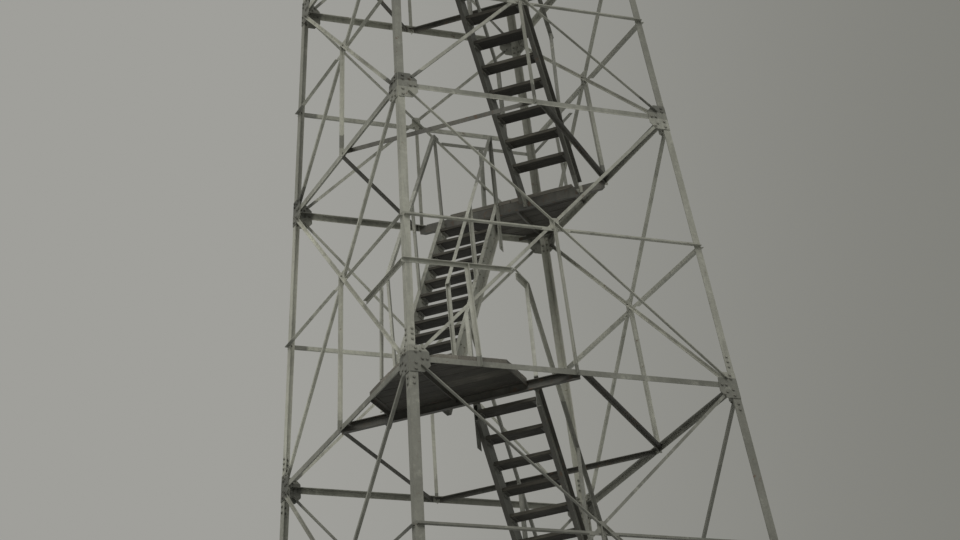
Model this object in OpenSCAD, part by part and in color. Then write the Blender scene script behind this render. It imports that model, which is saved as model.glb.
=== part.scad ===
// Fire lookout tower of angle iron: four leaning legs braced on every side, stairs that climb inside from one
// corner landing to the next, and a small cab with windows all round on top.
// The origin is on the ground midway between the four legs. The front is towards -Y and the right side at +X.
// Odd landings are in the front left corner of the tower, and even ones in the back right corner.

/* [Tower] */
// Side of the tower at the ground, between the heels of two legs
base_side = 5544; // [5440:2:5600]
// Side of the tower at the top of the legs
top_side = 2310; // [2280:2:2340]

/* [Bays] */
// Height of the first bay, from the ground
bay_1_h = 4400; // [4200:10:4600]
// Height of the second bay
bay_2_h = 4100; // [3900:10:4300]
// Height of the third bay
bay_3_h = 3600; // [3400:10:3800]
// Height of the fourth bay
bay_4_h = 3180; // [3000:10:3300]
// Height of the fifth bay
bay_5_h = 2490; // [2400:10:2600]
// Height of the sixth bay, under the cab
bay_6_h = 2430; // [2380:10:2500]

/* [Legs and feet] */
// Width of a leg's flanges up to the splice
lower_leg_w = 92; // [88:1:110]
// Width of a leg's flanges above the splice
upper_leg_w = 74; // [68:1:88]
// Level at which the legs are spliced, counted in bays
splice = 3; // [2:1:4]
// Thickness of a leg's flanges
leg_t = 10; // [8:1:12]
// Side of the square plate under each leg
foot_w = 320; // [300:5:360]
// Thickness of the plate under each leg
foot_t = 20; // [16:1:25]
// Diameter of the anchor bolt holes
anchor_d = 26; // [20:1:30]
// Distance between the anchor bolt holes of a foot
anchor_pitch = 220; // [200:5:240]

/* [Bracing] */
// Width of the level angles that close each bay
girt_w = 60; // [50:1:70]
// Thickness of the level angles
girt_t = 6; // [5:1:8]
// Width of the diagonal angles
brace_w = 32; // [28:1:40]
// Thickness of the diagonal angles
brace_t = 5; // [4:1:6]
// Width of the light angles at mid height and under the crossings
strut_w = 40; // [35:1:45]
// Thickness of the light angles
strut_t = 5; // [4:1:6]
// Height on the leg where the first diagonals start
brace_start = 180; // [150:5:220]
// Distance of the other diagonals' ends from the middle of the leg, along the diagonal
brace_end = 100; // [90:5:120]
// Depth of the light angles below the point where the diagonals cross
strut_drop = 80; // [60:5:90]
// Width of the plates over the joints on the legs
gusset_w = 215; // [200:5:240]
// Height of the plates over the joints on the legs
gusset_h = 290; // [270:5:310]
// Thickness of the plates over the joints
gusset_t = 8; // [6:1:10]
// Size of the corners cut off those plates
gusset_cut = 70; // [50:5:90]
// Width of the plate where two diagonals cross
crossing_w = 100; // [90:5:120]

/* [Landings] */
// Width of a landing along its inner edge
landing_w = 1480; // [1440:10:1560]
// Thickness of the planks
deck_t = 50; // [40:1:60]
// Distance along each face from the corner to the planks
deck_corner = 310; // [290:5:330]
// Depth of the channel along a landing's inner edge
beam_h = 100; // [80:5:120]
// Width of that channel's flanges
beam_w = 50; // [40:1:60]
// Width of the angles that carry the planks and tie the faces
tie_w = 50; // [40:1:60]
// Thickness of the channel and of the angles
tie_t = 6; // [5:1:8]

/* [Stairs] */
// Length of a tread, between the stringers
tread_l = 620; // [600:5:630]
// Depth of a tread
tread_d = 185; // [175:5:200]
// Thickness of a tread
tread_t = 40; // [35:1:50]
// Height that the steps come close to
step_h = 229; // [210:1:240]
// Distance between the treads of neighbouring flights
stair_gap = 380; // [370:5:400]
// Depth of a stringer channel
stringer_h = 200; // [190:5:220]
// Width of a stringer's flanges
stringer_w = 45; // [40:1:48]
// Thickness of a stringer's steel
stringer_t = 6; // [5:1:8]
// Depth of a stringer's foot below the landing that it starts from
stringer_foot = 150; // [130:5:160]
// Length of the first flight on plan
first_run = 3600; // [3400:10:3800]
// Length of the top flight on plan
top_run = 1300; // [1250:10:1350]
// Width of the plate that hangs a flight from its landing
hanger_w = 110; // [90:5:130]
// Depth of that plate's foot below the top of the planks
hanger_h = 620; // [560:10:660]

/* [Railings] */
// Height of the rail round a landing
guard_h = 1030; // [1000:10:1100]
// Length of that rail along each face, from the corner
guard_l = 1240; // [1180:10:1260]
// How much shorter it is where a diagonal crosses it
guard_short = 130; // [100:10:150]
// Distance from the corner to the post of that rail
guard_post = 760; // [700:10:900]
// Height of the inner handrails above the line of the nosings
handrail_h = 850; // [800:10:900]
// Height of the outer handrails above that line
outer_rail_h = 1090; // [1060:10:1120]
// Width of the railing angles
rail_w = 40; // [35:1:45]
// Thickness of the railing angles
rail_t = 5; // [4:1:6]
// Distance on plan that the posts of a handrail come close to
post_pitch = 920; // [850:10:1000]
// Distance on plan from the foot of a flight to its last post
post_gap = 470; // [400:10:550]

/* [Cab] */
// Outer side of the cab
cab_side = 2370; // [2340:2:2400]
// Depth of the channels under the cab floor
sill_h = 120; // [100:5:140]
// Width of those channels
sill_w = 60; // [50:1:70]
// Thickness of the cab floor
floor_t = 40; // [30:1:50]
// Length of the opening in the floor over the top flight
hatch_l = 900; // [850:10:920]
// Thickness of the trapdoor
trapdoor_t = 30; // [25:1:40]
// Height of the cab walls
wall_h = 2130; // [2050:10:2200]
// Thickness of the cab walls
wall_t = 50; // [40:1:60]
// Height of the window sills above the floor
window_z = 950; // [850:10:1000]
// Width of a window opening
window_w = 880; // [800:10:900]
// Height of a window opening
window_h = 950; // [850:10:1000]
// Width of the wall between two windows
mullion_w = 120; // [100:5:160]
// Thickness of the glass
glass_t = 4; // [3:1:6]
// How far the roof stands out past the walls
eave = 180; // [120:5:220]
// Rise of the roof from the eaves to the peak
roof_rise = 860; // [700:10:950]
// Thickness of the roof
roof_t = 20; // [15:1:30]
// Diameter of the ventilator's pipe on the peak
vent_d = 160; // [140:5:200]
// Height of the ventilator above the peak
vent_h = 220; // [180:5:260]
// Diameter of the ventilator's cap
vent_cap_d = 320; // [280:5:360]
// Height of the cap, from its rim to its point
vent_cap_h = 88; // [70:2:100]
// Height of the cap's rim
vent_rim_h = 11; // [8:1:20]

/* [Hidden] */
// Gap between bars that pass or meet without being joined
fit = 6;
// Gap between sheets that lie edge to edge
joint = 2;
// Longer than anything that is cut
far = 20000;
bay_h = [bay_1_h, bay_2_h, bay_3_h, bay_4_h, bay_5_h, bay_6_h];
bays = len(bay_h);
tower_h = level(bays);
batter = (base_side - top_side) / 2 / tower_h;
face_lean = atan(batter);
leg_lean = atan(batter * sqrt(2));
guard_inset = leg_t + brace_w + fit;
pack_w = lower_leg_w - 3 * fit;
stair_y = (stair_gap + tread_l) / 2;
stair_side = stair_y + tread_l / 2 + stringer_w;
hatch_w = tread_l + 2 * stringer_w + 2 * fit;
cab_z = tower_h + sill_h + floor_t;
sides = ["front", "right", "back", "left"];

// Height of the top of bay i above the ground
function level(i) = i == 0 ? 0 : level(i - 1) + bay_h[i - 1];
// Half the tower's side at height z, and half its diagonal
function half_side(z) = base_side / 2 - batter * z;
function half_diag(z) = half_side(z) * sqrt(2);
// Height z measured along a leaning face, and half the face's width there
function up_face(z) = z / cos(face_lean);
function face_half(s) = half_side(s * cos(face_lean));
// Width of the legs' flanges in bay i
function leg_w(i) = i > splice ? upper_leg_w : lower_leg_w;
// Points on the legs that the line of the right-hand rising diagonal of bay i runs between, on a face. It is
// aimed at the middles of the level bars, but the first one ends below the plates over the joints
function brace_foot(i) = [
    leg_w(i) / 2 - half_side(level(i - 1)),
    i == 1 ? brace_start : up_face(level(i - 1)) - girt_w / 2
];
function brace_head(i) = [
    half_side(level(i)) - leg_w(i) / 2,
    up_face(level(i)) - (i == 1 ? (girt_w + gusset_h + pack_w) / 2 + 2 * fit : girt_w / 2)
];
// Height on a face where the two diagonals of bay i cross
function crossing(i) =
    let (a = brace_foot(i), b = brace_head(i))
    a.y - (b.y - a.y) * a.x / (b.x - a.x);
// Where a person stands at level i: on the ground, on a landing or in the cab
function walk_z(i) = i == 0 ? 0 : i == bays ? cab_z : level(i) + deck_t;
// Distance from the tower's axis to the inner edge of the landing at level i
function inner_edge(i) = half_diag(level(i)) / 2 - beam_w / 2;
// Ends of flight i along the tower's diagonal, in the frame of its upper level
function flight_top(i) = i == bays ? inner_edge(i - 1) - top_run : -inner_edge(i);
function flight_run(i) = i == 1 ? first_run : i == bays ? top_run : inner_edge(i - 1) + inner_edge(i);
function flight_rise(i) = walk_z(i) - walk_z(i - 1);
function flight_slope(i) = atan(flight_rise(i) / flight_run(i));
function flight_steps(i) = round(flight_rise(i) / step_h);
// Height above the top of flight i of a line that runs h above the nosings
function over_nosings(i, x, h) = h - x * tan(flight_slope(i));

// Section of an equal angle with its heel at the origin
module angle_section(w, t) {
    polygon([[0, 0], [w, 0], [w, t], [t, t], [t, w], [0, w]]);
}

// Section of a channel with its web on the Y axis and its flanges towards +X
module channel_section(h, w, t) {
    polygon([[0, 0], [w, 0], [w, t], [t, t], [t, h - t], [w, h - t], [w, h], [0, h]]);
}

// Angle laid from p to q on the XY plane. One flange lies on the plane, to the left of the line or centred
// on it, and the other stands up from its right edge, or hangs down
module angle_bar(p, q, w, t, centred = false, down = false) {
    translate([p.x, p.y, 0])
        rotate([0, 0, atan2(q.y - p.y, q.x - p.x)])
            translate([0, centred ? -w / 2 : 0, 0])
                mirror([0, 0, down ? 1 : 0])
                    rotate([90, 0, 90])
                        linear_extrude(norm(q - p))
                            angle_section(w, t);
}

// Places what is drawn on the XY plane on a leaning face: X runs along the face, Y up it and Z outwards
module on_face(side) {
    rotate([0, 0, 90 * side])
        translate([0, -base_side / 2, 0])
            rotate([90 - face_lean, 0, 0])
                children();
}

// Turns a tower-square frame so that landing i is in its front left corner
module at_corner(i) {
    rotate([0, 0, 180 * ((i + 1) % 2)])
        children();
}

// Frame of level i: its landing lies towards -X, the opposite corner towards +X, and flight i arrives at -Y
module at_level(i) {
    at_corner(i)
        translate([0, 0, level(i)])
            rotate([0, 0, 45])
                children();
}

// Frame of flight i: the origin is on the uppermost nosing's line, and the flight runs down towards +X
module at_flight(i) {
    at_level(i)
        translate([flight_top(i), -stair_y, walk_z(i) - level(i)])
            children();
}

// Extrudes what is drawn in the XZ plane from y to y + t
module upright(y, t) {
    translate([0, y + t, 0])
        rotate([90, 0, 0])
            linear_extrude(t)
                children();
}

// Steel plate under each leg, with four anchor bolt holes
module anchor_plates() {
    centre = half_side(0) - lower_leg_w / 2;
    color([0.52, 0.52, 0.49])
        for (x = [-centre, centre], y = [-centre, centre])
            translate([x, y, 0])
                linear_extrude(foot_t)
                    difference() {
                        square(foot_w, center = true);
                        for (dx = [-1, 1], dy = [-1, 1])
                            translate([dx, dy] * anchor_pitch / 2)
                                circle(d = anchor_d, $fn = 32);
                    }
}

// Length of a corner leg between two heights: an angle with its heel outwards, opened a little so that both
// flanges lie in the leaning faces
module leg_length(corner, w, low, high) {
    open = atan(1 / cos(leg_lean));
    tip = w * [-cos(open), sin(open)];
    inner_tip = tip - leg_t * [sin(open), cos(open)];
    intersection() {
        rotate([0, 0, 225 + 90 * corner])
            translate([half_diag(0), 0, 0])
                rotate([0, -leg_lean, 0])
                    translate([0, 0, -w])
                        linear_extrude(tower_h / cos(leg_lean) + 2 * w)
                            polygon([
                                [0, 0], tip, inner_tip, [-leg_t / sin(open), 0],
                                [inner_tip.x, -inner_tip.y], [tip.x, -tip.y]
                            ]);
        translate([-base_side, -base_side, low])
            cube([2 * base_side, 2 * base_side, high - low]);
    }
}

// Leg in two sizes of angle, spliced behind the plates over a joint
module leg(corner) {
    color([0.60, 0.60, 0.56]) {
        leg_length(corner, lower_leg_w, foot_t, level(splice));
        leg_length(corner, upper_leg_w, level(splice), tower_h);
    }
}

// Diagonal of bay i that rises to the right. Above the first bay it ends on the plates over the joints
module diagonal(i) {
    line = brace_head(i) - brace_foot(i);
    cut = i == 1 ? [0, 0] : brace_end * line / norm(line);
    angle_bar(brace_foot(i) + cut, brace_head(i) - cut, brace_w, brace_t, centred = true);
}

// Light angle under the crossing of bay i, with its standing flange cut away where the diagonals pass
module strut(i) {
    s = crossing(i) - strut_drop;
    flat = 2 * strut_drop;
    for (turn = [0, 1])
        mirror([turn, 0, 0])
            angle_bar([flat, s], [face_half(s) - fit, s], strut_w, strut_t, centred = true);
    translate([-flat, s - strut_w / 2, 0])
        cube([2 * flat, strut_w, strut_t]);
}

// Level angle at the top of bay i between the legs' flanges, with its inner flange on top
module girt(i) {
    x = half_side(level(i)) - leg_w(i) - fit;
    y = up_face(level(i));
    angle_bar([x, y], [-x, y], girt_w, girt_t, down = true);
}

// Plate over the joint at height z on the right-hand leg, cut level at the top of the tower
module gusset(z) {
    low = up_face(z) - (girt_w + gusset_h) / 2;
    high = min(low + gusset_h, up_face(tower_h) - gusset_t * tan(face_lean));
    inner = half_side(z) - gusset_w;
    linear_extrude(gusset_t)
        polygon([
            [face_half(low) - fit, low], [face_half(high) - fit, high], [inner + gusset_cut, high],
            [inner, high - gusset_cut], [inner, low + gusset_cut], [inner + gusset_cut, low]
        ]);
}

// Bars of bay i above the first: one diagonal lies inside the plates and the other outside, with a plate
// between them where they cross, and a hanger drops from it
module joined_bay(i) {
    s = crossing(i);
    below = strut_drop + strut_w / 2;
    mirror([0, 0, 1])
        diagonal(i);
    translate([0, 0, gusset_t])
        mirror([1, 0, 0])
            diagonal(i);
    translate([-crossing_w / 2, s - below, 0])
        cube([crossing_w, below + crossing_w / 2, gusset_t]);
    strut(i);
    angle_bar([0, s], [0, up_face(level(i - 1)) - girt_w], strut_w, strut_t, centred = true);
}

// Bars of the first bay, which people pass between: each is bolted to the legs alone, one diagonal inside
// them and the other outside on packing plates that lift it clear of the level bar
module open_bay() {
    lift = strut_t + 1;
    translate([0, 0, -leg_t])
        mirror([0, 0, 1])
            diagonal(1);
    strut(1);
    mirror([1, 0, 0]) {
        translate([0, 0, lift])
            diagonal(1);
        for (end = [brace_foot(1), brace_head(1)])
            translate([end.x - pack_w / 2, end.y - pack_w / 2, 0])
                cube([pack_w, pack_w, lift]);
    }
}

// Bracing of one side of the tower
module bracing(side) {
    color([0.58, 0.58, 0.54])
        on_face(side) {
            open_bay();
            for (i = [2 : bays])
                joined_bay(i);
            for (i = [1 : bays]) {
                girt(i);
                for (turn = [0, 1])
                    mirror([turn, 0, 0])
                        gusset(level(i));
            }
        }
}

// Keeps what lies between the girts of level i, and below their inner flanges where it reaches under them
module between_girts(i) {
    under = girt_t * cos(face_lean) + girt_w * sin(face_lean);
    full = half_side(level(i) - under) - girt_t / cos(face_lean);
    clear = half_side(level(i)) - girt_w - fit;
    intersection() {
        children();
        rotate([0, 0, 45]) {
            translate([-full, -full, -far])
                cube([2 * full, 2 * full, far - under]);
            translate([-clear, -clear, -far])
                cube([2 * clear, 2 * clear, far]);
        }
    }
}

// Steel that carries a landing's planks: a channel along the inner edge, an angle along each side and across
// the corner, and one down the middle
module landing_frame(i) {
    edge = -inner_edge(i);
    reach = half_diag(level(i));
    corner = deck_corner / sqrt(2) - reach;
    translate([edge, 0, -beam_h])
        mirror([1, 0, 0])
            upright(-reach, 2 * reach)
                channel_section(beam_h, beam_w, tie_t);
    for (turn = [0, 1])
        mirror([0, turn, 0])
            angle_bar([edge - tie_t, landing_w / 2], [-reach, landing_w / 2], tie_w, tie_t, down = true);
    angle_bar([corner, -reach], [corner, reach], tie_w, tie_t, centred = true, down = true);
    angle_bar([edge - tie_t, 0], [corner, 0], tie_w, tie_t, centred = true, down = true);
}

// Framing of level i: the landing's steel, and three angles that tie the middles of the faces together
module framing(i) {
    under = girt_t * cos(face_lean) + girt_w * sin(face_lean);
    reach = half_diag(level(i));
    side_y = reach / 2 + beam_w / 2 + fit;
    color([0.50, 0.50, 0.47])
        at_level(i)
            between_girts(i) {
                landing_frame(i);
                translate([0, 0, -under]) {
                    translate([reach / 2, 0, 0])
                        angle_bar([0, -reach], [0, reach], tie_w, tie_t, centred = true, down = true);
                    for (turn = [0, 1])
                        mirror([0, turn, 0])
                            angle_bar([-reach, side_y], [reach, side_y], tie_w, tie_t, down = true);
                }
            }
}

// Planks of the landing at level i, in one piece with a cut corner at the leg
module deck(i) {
    edge = inner_edge(i);
    reach = half_diag(level(i)) - fit * sqrt(2);
    wide = landing_w / 2;
    narrow = deck_corner / sqrt(2);
    color([0.30, 0.27, 0.22])
        at_level(i)
            linear_extrude(deck_t)
                polygon([
                    [-edge, -wide], [-edge, wide], [wide - reach, wide],
                    [narrow - reach, narrow], [narrow - reach, -narrow], [wide - reach, -wide]
                ]);
}

// Band of flight i between two depths below the line of the nosings, cut off at the flight's ends
module flight_band(i, high, low) {
    foot = flight_rise(i) + (i == 1 ? 0 : stringer_foot);
    intersection() {
        rotate(-flight_slope(i))
            translate([-far / 2, -low])
                square([far, low - high]);
        translate([0, -foot])
            square([flight_run(i), foot]);
    }
}

// Channel at the side of flight i, with its flanges outwards
module stringer(i) {
    upright(tread_l / 2, stringer_t)
        flight_band(i, 0, stringer_h);
    upright(tread_l / 2, stringer_w) {
        flight_band(i, 0, stringer_t);
        flight_band(i, stringer_h - stringer_t, stringer_h);
    }
}

// Stringers of flight i, the inner one with a plate that hangs it from the landing's edge
module stringers(i) {
    color([0.48, 0.48, 0.45])
        at_flight(i) {
            for (turn = [0, 1])
                mirror([0, turn, 0])
                    stringer(i);
            if (i < bays)
                upright(tread_l / 2 + stringer_w - stringer_t, stringer_t)
                    translate([0, -hanger_h])
                        square([hanger_w, hanger_h - deck_t]);
        }
}

// Plank treads of flight i, one below each nosing
module treads(i) {
    steps = flight_steps(i);
    going = flight_run(i) / steps;
    rise = flight_rise(i) / steps;
    color([0.30, 0.27, 0.22])
        at_flight(i)
            for (n = [1 : steps - 1])
                translate([n * going - tread_d, -tread_l / 2, -n * rise - tread_t])
                    cube([tread_d, tread_l, tread_t]);
}

// Band of the given depth under a line of points in the XZ plane
module under_line(points, depth) {
    count = len(points);
    polygon(concat(points, [for (n = [1 : count]) points[count - n] - [0, depth]]));
}

// Line of the nosings from the lower end of a rail up to its start, and level along the landing
function under_rail(i, start, end) = concat(
    [[end, over_nosings(i, end, 0)]],
    start < 0 ? [[0, 0], [start, 0]] : [[start, over_nosings(i, start, 0)]]
);

// Railing of flight i: angles in one upright plane, a rail under the given points and a post at each x, which
// stands on the stringer or on the deck
module rail_frame(i, points, posts) {
    y = tread_l / 2 + stringer_w - rail_w;
    for (part = [[rail_w, rail_t], [rail_t, rail_w]])
        upright(y, part.y) {
            under_line(points, part.x / cos(flight_slope(i)));
            intersection() {
                for (x = posts)
                    translate([x, -far / 2])
                        square([part.x, far]);
                polygon(concat(points, under_rail(i, points[0].x, points[len(points) - 1].x)));
            }
        }
}

// Handrails of flight i. The outer one is higher, and goes on level beside the landing as far as the face
module handrails(i) {
    under_cab = (handrail_h + sill_h + floor_t + fit) / tan(flight_slope(i));
    start = i == bays ? under_cab : 0;
    length = flight_run(i) - start - post_gap;
    gaps = max(1, round(length / post_pitch));
    posts = [for (n = [0 : gaps]) start + n * length / gaps];
    foot = posts[gaps] + rail_w;
    beside = half_diag(walk_z(i) + guard_h) - guard_inset * sqrt(2) - stair_side - inner_edge(i);
    bend = (outer_rail_h - guard_h) / tan(flight_slope(i));
    near = max(0, -beside);
    inner = [for (x = [start, foot]) [x, over_nosings(i, x, handrail_h)]];
    turns = [for (x = [-beside, bend, foot]) if (x >= -beside) x];
    outer = [for (x = turns) [x, min(guard_h, over_nosings(i, x, outer_rail_h))]];
    at_flight(i) {
        rail_frame(i, inner, posts);
        mirror([0, 1, 0])
            if (i == bays)
                rail_frame(i, inner, posts);
            else
                rail_frame(i, outer, concat([near], [for (n = [1 : gaps]) posts[n]]));
    }
}

// Rail along one face at the landing of level i, bolted across the outside of the leg and to a post. The post
// stands on the level bar outside or, where a diagonal passes there, on the planks inside
module face_guard(i, inside) {
    corner = -half_side(level(i));
    high = up_face(walk_z(i) + guard_h);
    start = corner + guard_l - (inside ? guard_short : 0);
    end = (inside ? fit : -rail_w) - half_side(walk_z(i) + guard_h);
    foot = inside ? up_face(walk_z(i)) + rail_w * tan(face_lean) : up_face(level(i)) - girt_w;
    angle_bar([start, high], [end, high], rail_w, rail_t);
    translate([corner + guard_post, 0, 0])
        angle_bar([0, foot], [0, high], rail_w, rail_t, down = inside);
}

// Railing of flight i and of the landing above it
module railing(i) {
    color([0.62, 0.62, 0.58]) {
        handrails(i);
        if (i < bays)
            at_corner(i) {
                on_face(0)
                    face_guard(i, false);
                on_face(3)
                    mirror([1, 0, 0])
                        face_guard(i, true);
            }
    }
}

// Keeps what lies inside the cab's square, less a margin
module in_cab(margin) {
    half = cab_side / 2 - margin;
    intersection() {
        children();
        rotate([0, 0, 45])
            translate([-half, -half, -far / 2])
                cube([2 * half, 2 * half, far]);
    }
}

// Channels under the cab floor: four round the edge, two beside the way up, one opposite and one across its
// head
module cab_sill() {
    half = cab_side / 2;
    trimmer = stair_y - hatch_w / 2;
    ends = [0, sill_w + fit];
    color([0.50, 0.50, 0.47]) {
        translate([0, 0, tower_h])
            for (turn = [0 : 3])
                rotate([0, 0, 90 * turn + 90])
                    translate([-half, 0, 0])
                        upright(ends[turn % 2] - half, cab_side - 2 * ends[turn % 2])
                            channel_section(sill_h, sill_w, tie_t);
        at_level(bays) {
            in_cab(sill_w + fit)
                for (y = [-trimmer, -stair_y - hatch_w / 2 - tie_w, stair_y])
                    translate([-cab_side, y, sill_h])
                        rotate([90, 0, 90])
                            linear_extrude(2 * cab_side)
                                translate([0, -beam_h])
                                    channel_section(beam_h, tie_w, tie_t);
            translate([flight_top(bays), 0, sill_h - beam_h])
                mirror([1, 0, 0])
                    upright(fit - stair_y - hatch_w / 2, hatch_w - 2 * fit)
                        channel_section(beam_h, beam_w, tie_t);
        }
    }
}

// Floor of the cab in four sheets round the opening over the top flight
module cab_floor() {
    near_y = hatch_w / 2 - stair_y;
    far_y = -hatch_w / 2 - stair_y;
    start = flight_top(bays);
    end = start + hatch_l;
    color([0.36, 0.31, 0.24])
        at_level(bays)
            translate([0, 0, sill_h])
                in_cab(0)
                    linear_extrude(floor_t) {
                        translate([-far / 2, near_y])
                            square([far, far]);
                        translate([-far / 2, far_y - far])
                            square([far, far]);
                        translate([start - far, far_y + joint])
                            square([far, hatch_w - 2 * joint]);
                        translate([end, far_y + joint])
                            square([far, hatch_w - 2 * joint]);
                    }
}

// Trapdoor, which stands open on the outer edge of the opening
module cab_trapdoor() {
    color([0.36, 0.31, 0.24])
        at_flight(bays)
            translate([0, -hatch_w / 2 - trapdoor_t, 0])
                cube([hatch_l, trapdoor_t, hatch_w]);
}

// Openings or panes of one wall, in the plane of the wall's outer face
module window_shapes() {
    for (x = [mullion_w / 2, -mullion_w / 2 - window_w])
        translate([x, window_z])
            square([window_w, window_h]);
}

// Wall of the cab with two windows. The front and back walls run past the ends of the others
module cab_wall(side) {
    length = side % 2 == 0 ? cab_side : cab_side - 2 * wall_t;
    color([0.55, 0.56, 0.52])
        translate([0, 0, cab_z])
            rotate([0, 0, 90 * side])
                upright(-cab_side / 2, wall_t)
                    difference() {
                        translate([-length / 2, 0])
                            square([length, wall_h]);
                        window_shapes();
                    }
}

// Glass of all the windows, in the middle of the walls
module cab_windows() {
    color([0.70, 0.78, 0.80, 0.4])
        translate([0, 0, cab_z])
            for (side = [0 : 3])
                rotate([0, 0, 90 * side])
                    upright((wall_t - glass_t - cab_side) / 2, glass_t)
                        window_shapes();
}

// Hipped roof in four sheets that meet on the hips, with a capped ventilator on the peak
module cab_roof() {
    half = cab_side / 2 + eave;
    fall = roof_rise / half;
    wall_top = cab_z + wall_h;
    peak = wall_top + fall * cab_side / 2;
    rim_z = vent_h - vent_cap_h;
    color([0.46, 0.48, 0.45]) {
        for (turn = [0 : 3])
            rotate([0, 0, 90 * turn])
                intersection() {
                    translate([0, 0, peak])
                        rotate([90, 0, 90])
                            translate([0, 0, -half])
                                linear_extrude(2 * half)
                                    polygon([
                                        [0, 0], [0, roof_t], [-half, roof_t - roof_rise], [-half, -roof_rise]
                                    ]);
                    linear_extrude(far * 2)
                        polygon([[joint - half, -half], [half - joint, -half], [0, -joint]]);
                }
        translate([0, 0, peak + roof_t])
            rotate_extrude($fn = 48)
                polygon([
                    [0, 0], [vent_d / 2, 0], [vent_d / 2, rim_z], [vent_cap_d / 2, rim_z],
                    [vent_cap_d / 2, rim_z + vent_rim_h], [0, vent_h]
                ]);
    }
}

anchor_plates();
leg(0);  // front_left_leg
leg(1);  // front_right_leg
leg(2);  // back_right_leg
leg(3);  // back_left_leg
for (s = [0 : 3]) {
    bracing(s);
    cab_wall(s);
}
for (i = [1 : bays - 1]) {
    framing(i);
    deck(i);
}
for (i = [1 : bays]) {
    stringers(i);
    treads(i);
    railing(i);
}
cab_sill();
cab_floor();
cab_trapdoor();
cab_windows();
cab_roof();
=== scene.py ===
# Looks of a fire lookout tower: weathered steel, planks, bolts, the clad cab and the light, built round the
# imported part. Everything is in metres, in the part's own frame, and repeats the dimensions of part.scad.
import itertools
import random
from math import atan, cos, exp, hypot, pi, radians, sin, sqrt

import bpy
from mathutils import Matrix, Vector

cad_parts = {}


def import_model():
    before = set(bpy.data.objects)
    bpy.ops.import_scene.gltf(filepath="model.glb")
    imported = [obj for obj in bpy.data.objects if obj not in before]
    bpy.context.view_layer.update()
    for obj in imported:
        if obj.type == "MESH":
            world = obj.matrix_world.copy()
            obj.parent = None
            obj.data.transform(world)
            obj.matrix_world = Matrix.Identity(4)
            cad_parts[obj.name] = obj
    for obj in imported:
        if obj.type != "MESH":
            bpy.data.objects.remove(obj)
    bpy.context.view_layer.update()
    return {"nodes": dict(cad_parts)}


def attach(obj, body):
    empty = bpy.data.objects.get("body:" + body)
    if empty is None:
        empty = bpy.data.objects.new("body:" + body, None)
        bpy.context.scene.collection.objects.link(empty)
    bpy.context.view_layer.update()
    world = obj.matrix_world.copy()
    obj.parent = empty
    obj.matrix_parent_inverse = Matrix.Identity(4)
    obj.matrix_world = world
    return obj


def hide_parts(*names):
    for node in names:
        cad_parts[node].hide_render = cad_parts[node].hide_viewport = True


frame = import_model()
nodes = frame["nodes"]

# Dimensions of the tower
BASE, TOP = 5.544, 2.310
BAY = (4.4, 4.1, 3.6, 3.18, 2.49, 2.43)
BAYS = len(BAY)
LOWER_LEG_W, UPPER_LEG_W, SPLICE, LEG_T = 0.092, 0.074, 3, 0.010
FOOT_T, ANCHOR_PITCH = 0.020, 0.220
GIRT_W, GIRT_T = 0.060, 0.006
BRACE_W, BRACE_T, BRACE_START, BRACE_END = 0.032, 0.005, 0.180, 0.100
STRUT_T, STRUT_DROP = 0.005, 0.080
GUSSET_W, GUSSET_H, GUSSET_T, PACK_W = 0.215, 0.290, 0.008, 0.074
FIT = 0.006

# Dimensions of the landings, stairs and railings
LANDING_W, DECK_T, DECK_CORNER, BEAM_W, TIE_T = 1.480, 0.050, 0.310, 0.050, 0.006
TREAD_L, TREAD_D, TREAD_T, STEP_H = 0.620, 0.185, 0.040, 0.229
STRINGER_W, STRINGER_T, STRINGER_FOOT = 0.045, 0.006, 0.150
FIRST_RUN, TOP_RUN, STAIR_Y = 3.600, 1.300, 0.500
HANGER_W, HANGER_H = 0.110, 0.620
GUARD_H, HANDRAIL_H, OUTER_RAIL_H = 1.030, 0.850, 1.090
RAIL_W, RAIL_T, POST_PITCH, POST_GAP = 0.040, 0.005, 0.920, 0.470
CROSSED_RAIL = 4  # landing where a diagonal passes between the handrail's end and the guard rail

# Dimensions of the cab
CAB, SILL_H, FLOOR_T, WALL_H, WALL_T = 2.370, 0.120, 0.040, 2.130, 0.050
HATCH_L, TRAPDOOR_T = 0.900, 0.030
WINDOW_Z, WINDOW_W, WINDOW_H, MULLION_W, GLASS_T = 0.950, 0.880, 0.950, 0.120, 0.004
EAVE, ROOF_RISE, ROOF_T = 0.180, 0.860, 0.020
VENT_D, VENT_H, VENT_CAP_D, VENT_CAP_H, VENT_RIM_H = 0.160, 0.220, 0.320, 0.088, 0.011

# Sizes that follow from them
ROOT_2 = sqrt(2)
LEVEL = [sum(BAY[:i]) for i in range(BAYS + 1)]
BATTER = (BASE - TOP) / 2 / LEVEL[BAYS]
LEAN = atan(BATTER)
CAB_Z = LEVEL[BAYS] + SILL_H + FLOOR_T
HATCH_W = TREAD_L + 2 * STRINGER_W + 2 * FIT
ROOF_HALF = CAB / 2 + EAVE
ROOF_FALL = ROOF_RISE / ROOF_HALF
ROOF_PITCH, HIP_PITCH = atan(ROOF_FALL), atan(ROOF_FALL / ROOT_2)
EAVE_Z = CAB_Z + WALL_H - ROOF_FALL * EAVE
PEAK_Z = EAVE_Z + ROOF_RISE + ROOF_T
HIP_LENGTH = hypot(ROOF_HALF * ROOT_2, ROOF_RISE)


def half_side(z):
    return BASE / 2 - BATTER * z


def up_face(z):
    return z / cos(LEAN)


def half_at(y):
    """Half the width of a side at y up its face."""
    return half_side(y * cos(LEAN))


def girt_line(i):
    """Height up a face of the middle of the level bar at level i."""
    return up_face(LEVEL[i]) - GIRT_W / 2


def leg_w(bay):
    return UPPER_LEG_W if bay > SPLICE else LOWER_LEG_W


def walk_z(i):
    return 0 if i == 0 else CAB_Z if i == BAYS else LEVEL[i] + DECK_T


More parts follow.
